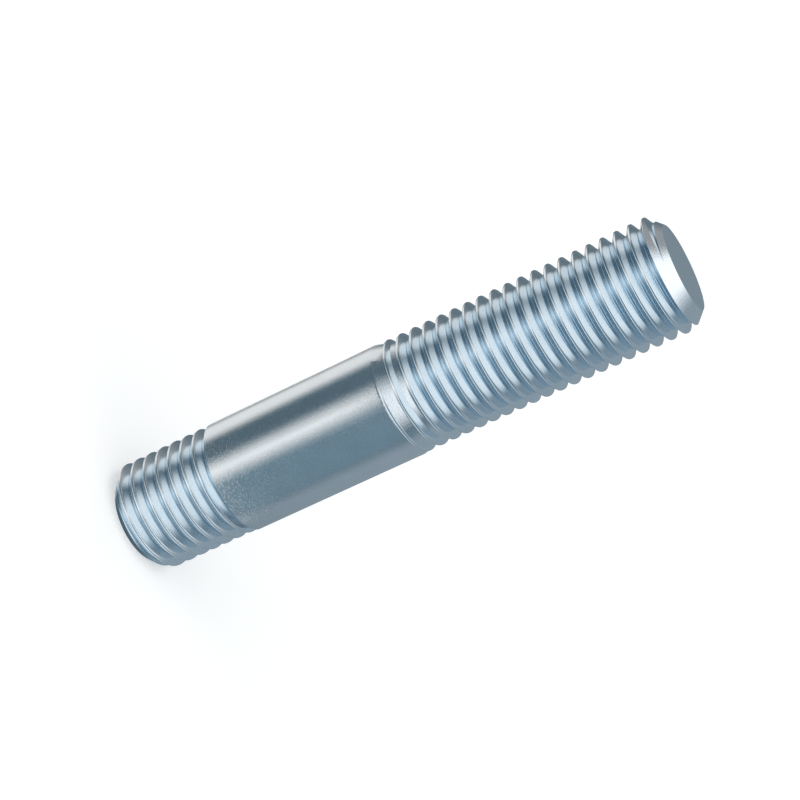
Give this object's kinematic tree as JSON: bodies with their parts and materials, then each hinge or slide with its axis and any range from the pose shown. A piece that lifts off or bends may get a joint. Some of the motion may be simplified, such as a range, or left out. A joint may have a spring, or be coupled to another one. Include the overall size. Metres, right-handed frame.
{
  "type": "stud bolt",
  "caption": "Double-ended stud bolt: a short threaded tap end, a plain round shank and a long threaded nut end, with chamfered ends and a blue-white zinc finish.",
  "frame": {"origin": "centre of the tap end's face, on the axis; the stud stands on that face", "axes": "+Z along the axis from the tap end to the nut end; X and Y are fixed only by where each thread starts"},
  "size_m": [0.016, 0.016, 0.084],
  "materials": {
    "zinc_plated_steel": "satin, blue-white zinc plating on machined and rolled steel"
  },
  "bodies": {
    "root": {"stud": "zinc_plated_steel"}
  },
  "joints": []
}
